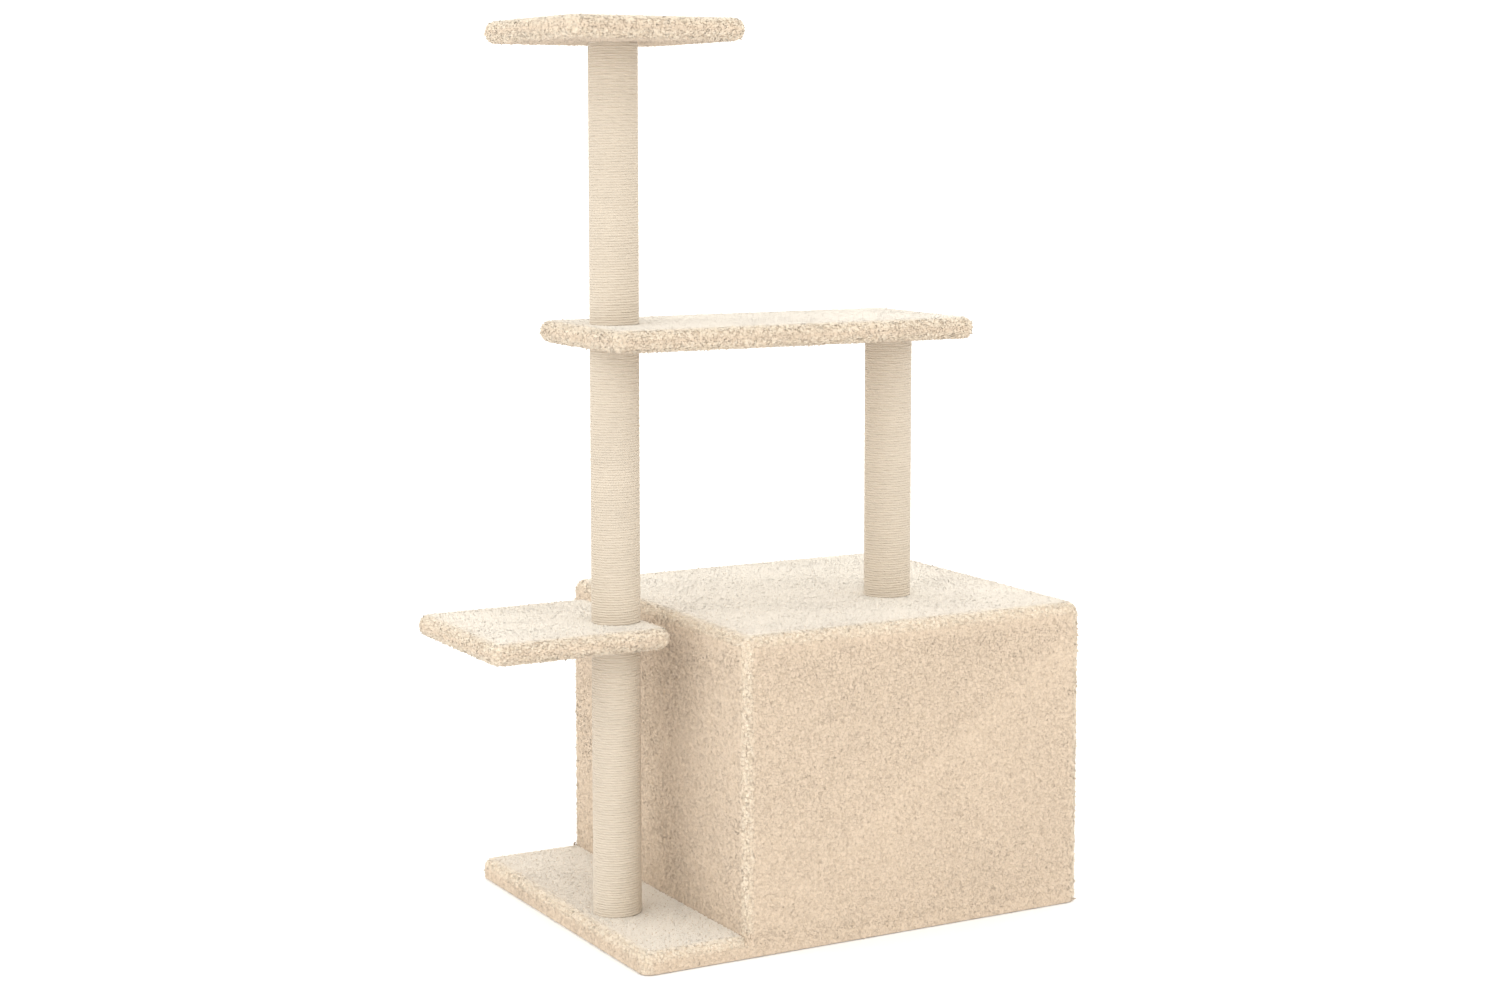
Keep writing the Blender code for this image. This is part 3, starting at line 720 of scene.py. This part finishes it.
def doorway_lining(door_x, sill, rng):
    """Pile on the plush that is turned in round the doorway, rounding over to the panel's face."""
    wall_low, _ = box_of("condo_front_wall")
    outer = condo_box[1][1]
    steps = round(DOOR_EDGE / TUFT_SPACING)
    path, inward = doorway_path(DOOR_HALF_WIDTH, sill + DOOR_HEIGHT, sill, steps)
    flat_depth = outer - DOOR_ROLL - wall_low[1]
    rows = round((flat_depth + DOOR_ROLL * pi / 2) / TUFT_SPACING)
    across_wall = (np.arange(rows) + 0.5) / rows * (flat_depth + DOOR_ROLL * pi / 2)
    bend = np.clip((across_wall - flat_depth) / DOOR_ROLL, 0, pi / 2)
    y = wall_low[1] + np.minimum(across_wall, flat_depth) + DOOR_ROLL * np.sin(bend)
    back = DOOR_ROLL * (1 - np.cos(bend))
    spots = []
    directions = []
    for place, back_off, angle in zip(y, back, bend):
        ring = path + rng.uniform(-LINING_JITTER, LINING_JITTER, path.shape) - inward * back_off
        spots.append(np.stack([door_x + ring[:, 0], np.full(steps, place), ring[:, 1]], axis=1))
        directions.append(np.stack([inward[:, 0] * cos(angle), np.full(steps, sin(angle)),
                                    inward[:, 1] * cos(angle)], axis=1))
    spots = np.concatenate(spots)
    spots[:, 1] += rng.uniform(-LINING_JITTER, LINING_JITTER, len(spots))
    return spots, np.concatenate(directions)


# ---------------------------------------------------------------- sisal

def wind_post(post, rng):
    """One cord wound from the foot of a tube to its head, its coils touching, its ends sunk in the pile."""
    low, high = box_of(f"{post}_sisal")
    middle = (low + high) / 2
    half = CORD_PITCH / 2
    ring = (high[0] - low[0]) / 2 - CORD_DEPTH / 2
    turns = (high[2] - low[2] - 2 * half) / CORD_PITCH + 2
    count = round(turns * TURN_STEPS)
    angle = np.linspace(0, turns * tau, count)
    level = np.linspace(low[2] + half - CORD_PITCH, high[2] - half + CORD_PITCH, count)
    wander = CORD_WANDER[0] * np.sin(angle * 0.37) + CORD_WANDER[1] * np.sin(angle * 1.71 + 2.0)
    section = np.linspace(0, tau, CORD_SIDES, endpoint=False)
    bulge = np.sign(np.cos(section)) * np.abs(np.cos(section)) ** CORD_FLATNESS
    stand = ring + wander[:, None] + CORD_DEPTH / 2 * bulge
    unevenness = CORD_UNEVENNESS * rng.normal(size=(count, 1))
    height = level[:, None] + CORD_SPREAD * half * np.sin(section) + unevenness
    points = np.stack([middle[0] + stand * np.cos(angle)[:, None],
                       middle[1] + stand * np.sin(angle)[:, None], height], axis=2).reshape(-1, 3)
    step = CORD_SIDES * np.arange(count - 1)[:, None]
    here = np.arange(CORD_SIDES)
    after = (here + 1) % CORD_SIDES
    faces = np.stack([step + here, step + CORD_SIDES + here, step + CORD_SIDES + after, step + after],
                     axis=2).reshape(-1, 4)
    along = np.repeat(angle * ring, CORD_SIDES)
    around = np.tile(section / tau * TWIST_ROUND, count)
    attributes = {"cord_along": along, "cord_around": around}
    cord = new_piece(f"{post}_sisal_cord", points, faces, materials["sisal"], attributes)
    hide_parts(f"{post}_sisal")


# ---------------------------------------------------------------- build

condo_box = box_of(*[f"condo_{side}_plush" for side in WALLS])
front_low, _ = box_of("condo_front_wall")
_, back_high = box_of("condo_back_wall")
_, left_high = box_of("condo_left_wall")
right_low, _ = box_of("condo_right_wall")
room_box = (np.array([left_high[0], back_high[1], 0.0]), np.array([right_low[0], front_low[1], 1.0]))

rng = np.random.default_rng(7)
for landing in LANDINGS:
    cover_landing(landing, rng)
cover_base(rng)
cover_lid(rng)
cover_walls(rng)
for post in POSTS:
    wind_post(post, rng)

for part in frame["record"]["subparts"]:
    finish = finishes.get(part["material_slot"])
    if finish:
        mesh = frame["nodes"][part["node"]].data
        mesh.materials.clear()
        mesh.materials.append(finish)


# ---------------------------------------------------------------- stage

def add_floor():
    mesh = bpy.data.meshes.new("floor")
    signs = ((-1, -1), (1, -1), (1, 1), (-1, 1))
    corners = [(x * FLOOR_REACH, y * FLOOR_REACH, 0) for x, y in signs]
    mesh.from_pydata(corners, [], [(0, 1, 2, 3)])
    material, _, shader = new_material("floor_paper", FLOOR_COLOUR, 0.9)
    shader.inputs["Specular IOR Level"].default_value = 0.0
    mesh.materials.append(material)
    floor = bpy.data.objects.new("floor", mesh)
    bpy.context.scene.collection.objects.link(floor)


def add_area_light(name, place, target, size, power, colour):
    light = bpy.data.lights.new(name, "AREA")
    light.shape = "DISK"
    light.size = size
    light.energy = power
    light.color = colour
    lamp = bpy.data.objects.new(name, light)
    lamp.location = place
    lamp.rotation_euler = (Vector(target) - Vector(place)).to_track_quat("-Z", "Y").to_euler()
    bpy.context.scene.collection.objects.link(lamp)


def add_world():
    world = bpy.data.worlds.new("studio")
    world.use_nodes = True
    background = world.node_tree.nodes["Background"]
    background.inputs["Color"].default_value = (*WORLD_COLOUR, 1)
    background.inputs["Strength"].default_value = WORLD_STRENGTH
    bpy.context.scene.world = world


def add_camera():
    data = bpy.data.cameras.new("camera")
    data.lens = CAMERA_LENS
    data.sensor_width = 36.0
    data.shift_y = CAMERA_SHIFT
    camera = bpy.data.objects.new("camera", data)
    camera.location = CAMERA_PLACE
    camera.rotation_euler = (pi / 2 - CAMERA_TILT, 0, -CAMERA_TURN)
    bpy.context.scene.collection.objects.link(camera)
    bpy.context.scene.camera = camera


add_floor()
add_area_light("key", KEY_PLACE, KEY_TARGET, KEY_SIZE, KEY_POWER, KEY_COLOUR)
add_world()
add_camera()
bpy.context.scene.view_settings.view_transform = "Standard"
